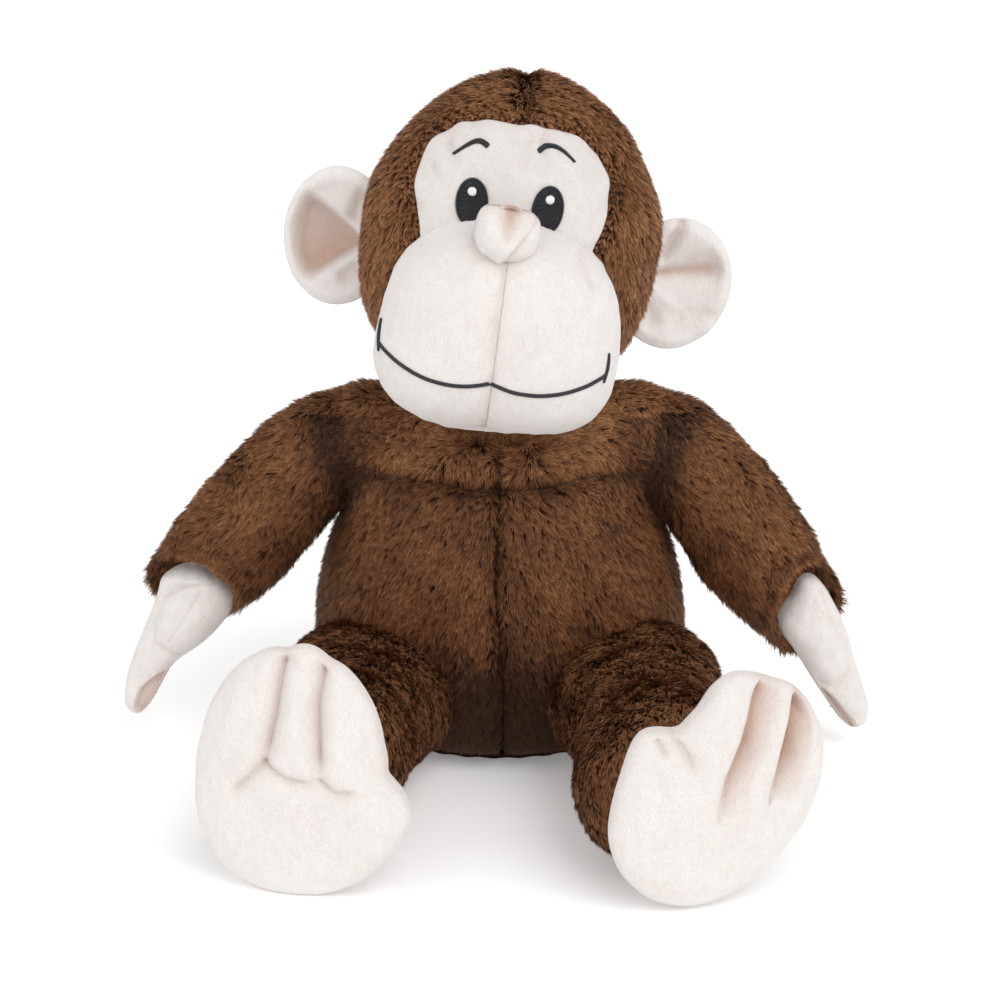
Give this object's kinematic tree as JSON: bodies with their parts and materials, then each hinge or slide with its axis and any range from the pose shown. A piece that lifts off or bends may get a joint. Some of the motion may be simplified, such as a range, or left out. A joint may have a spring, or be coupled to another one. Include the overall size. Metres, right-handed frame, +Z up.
{
  "type": "stuffed monkey",
  "caption": "Seated plush monkey with long-pile fur, a short-pile face, ears, hands and feet, stitched features and soft jointed limbs.",
  "frame": {"origin": "middle of the flat seat panel, on the surface that the monkey sits on", "axes": "+Z up; the face looks along -Y; +X towards the monkey's own left"},
  "size_m": [0.3284, 0.2553, 0.3003],
  "materials": {
    "brown_plush": "long-pile brown plush, about 9 mm pile, lying downwards",
    "cream_velboa": "short-pile off-white plush, matt with a soft sheen",
    "black_thread": "charcoal satin-stitched embroidery thread",
    "white_thread": "white satin-stitched embroidery thread",
    "fibrefill": "loose polyester fibre filling",
    "pellet_cloth": "plain woven cloth bag of plastic pellets"
  },
  "bodies": {
    "torso": {"seat_panel": "brown_plush", "torso_front_left": "brown_plush", "torso_front_right": "brown_plush", "torso_back_left": "brown_plush", "torso_back_right": "brown_plush", "torso_filling": "fibrefill", "pellet_bag": "pellet_cloth"},
    "neck": {"neck_filling": "fibrefill"},
    "head": {"head_fur_left": "brown_plush", "head_fur_right": "brown_plush", "head_fur_back": "brown_plush", "face_mask": "cream_velboa", "muzzle_left": "cream_velboa", "muzzle_right": "cream_velboa", "chin": "cream_velboa", "nose": "cream_velboa", "eye_left": "black_thread", "eye_right": "black_thread", "eye_glint_left": "white_thread", "eye_glint_right": "white_thread", "brow_left": "black_thread", "brow_right": "black_thread", "mouth_left": "black_thread", "mouth_right": "black_thread", "head_filling": "fibrefill", "muzzle_filling": "fibrefill"},
    "ear_left": {"ear_left_front": "cream_velboa", "ear_left_back": "cream_velboa"},
    "arm_left": {"arm_left_outer": "brown_plush", "arm_left_inner": "brown_plush", "arm_left_filling": "fibrefill"},
    "hand_left": {"hand_left_palm": "cream_velboa", "hand_left_back": "cream_velboa", "hand_left_filling": "fibrefill"},
    "leg_left": {"leg_left_top": "brown_plush", "leg_left_under": "brown_plush", "leg_left_filling": "fibrefill"},
    "foot_left": {"foot_left_sole": "cream_velboa", "foot_left_upper": "cream_velboa", "foot_left_filling": "fibrefill"},
    "ear_right": {"ear_right_front": "cream_velboa", "ear_right_back": "cream_velboa"},
    "arm_right": {"arm_right_outer": "brown_plush", "arm_right_inner": "brown_plush", "arm_right_filling": "fibrefill"},
    "hand_right": {"hand_right_palm": "cream_velboa", "hand_right_back": "cream_velboa", "hand_right_filling": "fibrefill"},
    "leg_right": {"leg_right_top": "brown_plush", "leg_right_under": "brown_plush", "leg_right_filling": "fibrefill"},
    "foot_right": {"foot_right_sole": "cream_velboa", "foot_right_upper": "cream_velboa", "foot_right_filling": "fibrefill"}
  },
  "joints": [
    {"name": "neck_turn", "type": "hinge", "parent": "torso", "child": "neck", "pos_m": [0, 0, 0.156], "axis": [0, 0, 1], "range_deg": [-35, 35], "stiffness_Nm_per_rad": 1},
    {"name": "head_nod", "type": "hinge", "parent": "neck", "child": "head", "pos_m": [0, 0, 0.156], "axis": [1, 0, 0], "range_deg": [-20, 10], "stiffness_Nm_per_rad": 2},
    {"name": "ear_left_flop", "type": "hinge", "parent": "head", "child": "ear_left", "pos_m": [0.06944, -0.004, 0.20699], "axis": [0.1305, 0, 0.9914], "range_deg": [-20, 20], "stiffness_Nm_per_rad": 0.02},
    {"name": "shoulder_left_swing", "type": "hinge", "parent": "torso", "child": "arm_left", "pos_m": [0.067, 0, 0.138], "axis": [1, 0, 0], "range_deg": [-90, 30], "stiffness_Nm_per_rad": 0.6},
    {"name": "wrist_left_bend", "type": "hinge", "parent": "arm_left", "child": "hand_left", "pos_m": [0.12453, -0.01912, 0.07842], "axis": [1, 0, 0], "range_deg": [-25, 25], "stiffness_Nm_per_rad": 0.06},
    {"name": "hip_left_swing", "type": "hinge", "parent": "torso", "child": "leg_left", "pos_m": [0.046, -0.04, 0.034], "axis": [1, 0, 0], "range_deg": [-20, 45], "stiffness_Nm_per_rad": 1.5},
    {"name": "ankle_left_tilt", "type": "hinge", "parent": "leg_left", "child": "foot_left", "pos_m": [0.07132, -0.14967, 0.044], "axis": [0.9744, 0.225, 0], "range_deg": [-15, 15], "stiffness_Nm_per_rad": 0.5},
    {"name": "ear_right_flop", "type": "hinge", "parent": "head", "child": "ear_right", "pos_m": [-0.06936, -0.004, 0.22527], "axis": [0.1305, 0, 0.9914], "range_deg": [-20, 20], "stiffness_Nm_per_rad": 0.02},
    {"name": "shoulder_right_swing", "type": "hinge", "parent": "torso", "child": "arm_right", "pos_m": [-0.067, 0, 0.138], "axis": [1, 0, 0], "range_deg": [-90, 30], "stiffness_Nm_per_rad": 0.6},
    {"name": "wrist_right_bend", "type": "hinge", "parent": "arm_right", "child": "hand_right", "pos_m": [-0.12951, -0.01912, 0.08367], "axis": [1, 0, 0], "range_deg": [-25, 25], "stiffness_Nm_per_rad": 0.06},
    {"name": "hip_right_swing", "type": "hinge", "parent": "torso", "child": "leg_right", "pos_m": [-0.046, -0.04, 0.034], "axis": [1, 0, 0], "range_deg": [-20, 45], "stiffness_Nm_per_rad": 1.5},
    {"name": "ankle_right_tilt", "type": "hinge", "parent": "leg_right", "child": "foot_right", "pos_m": [-0.06838, -0.13695, 0.044], "axis": [0.9744, -0.225, 0], "range_deg": [-15, 15], "stiffness_Nm_per_rad": 0.5}
  ]
}
